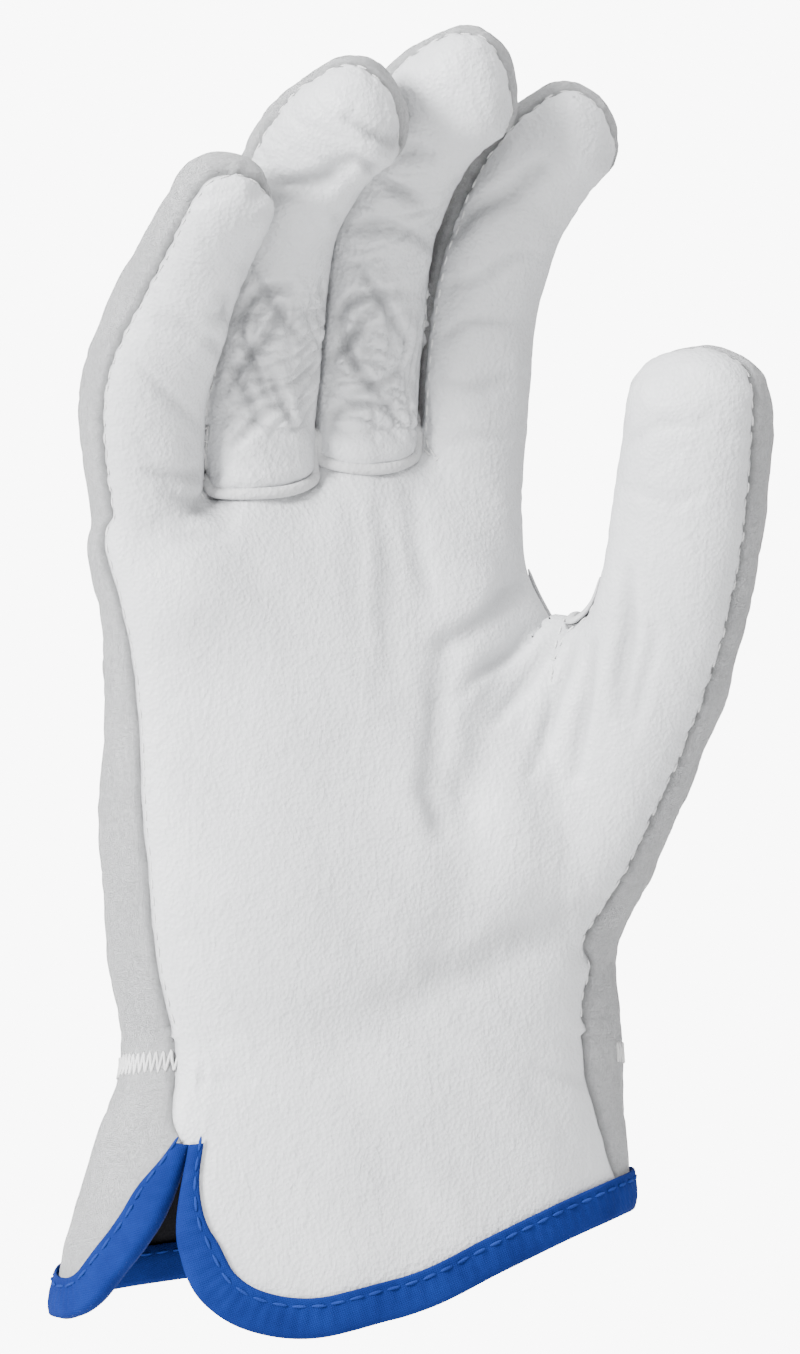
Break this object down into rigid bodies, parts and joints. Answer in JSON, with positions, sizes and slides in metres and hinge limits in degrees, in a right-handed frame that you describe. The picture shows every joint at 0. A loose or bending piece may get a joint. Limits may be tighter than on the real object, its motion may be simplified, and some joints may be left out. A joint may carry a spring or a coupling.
{
  "type": "rigger glove",
  "caption": "White leather rigger glove for the right hand, grain palm, suede back, blue taped cuff with a slit, fingers lightly curled",
  "frame": {"origin": "middle of the cuff's opening, level with the lowest point of the hem", "axes": "+Z to the fingertips, -Y out of the palm, +X towards the thumb"},
  "size_m": [0.1371, 0.0846, 0.2607],
  "materials": {
    "grain_leather": "satin",
    "suede": "matte",
    "welt_leather": "satin",
    "blue_tape": "matte"
  },
  "bodies": {
    "root": {"palm_cuff": "grain_leather", "palm_panel": "grain_leather", "palm_knuckles": "grain_leather", "palm_little_finger": "grain_leather", "palm_index_finger": "grain_leather", "palm_thumb": "grain_leather", "ring_finger_front": "grain_leather", "middle_finger_front": "grain_leather", "back_cuff": "suede", "back_panel": "suede", "back_knuckles": "suede", "back_little_finger": "suede", "back_ring_finger": "suede", "back_middle_finger": "suede", "back_index_finger": "suede", "back_thumb": "suede", "base_welt": "welt_leather", "web_welt": "welt_leather", "cuff_binding": "blue_tape"}
  },
  "joints": []
}
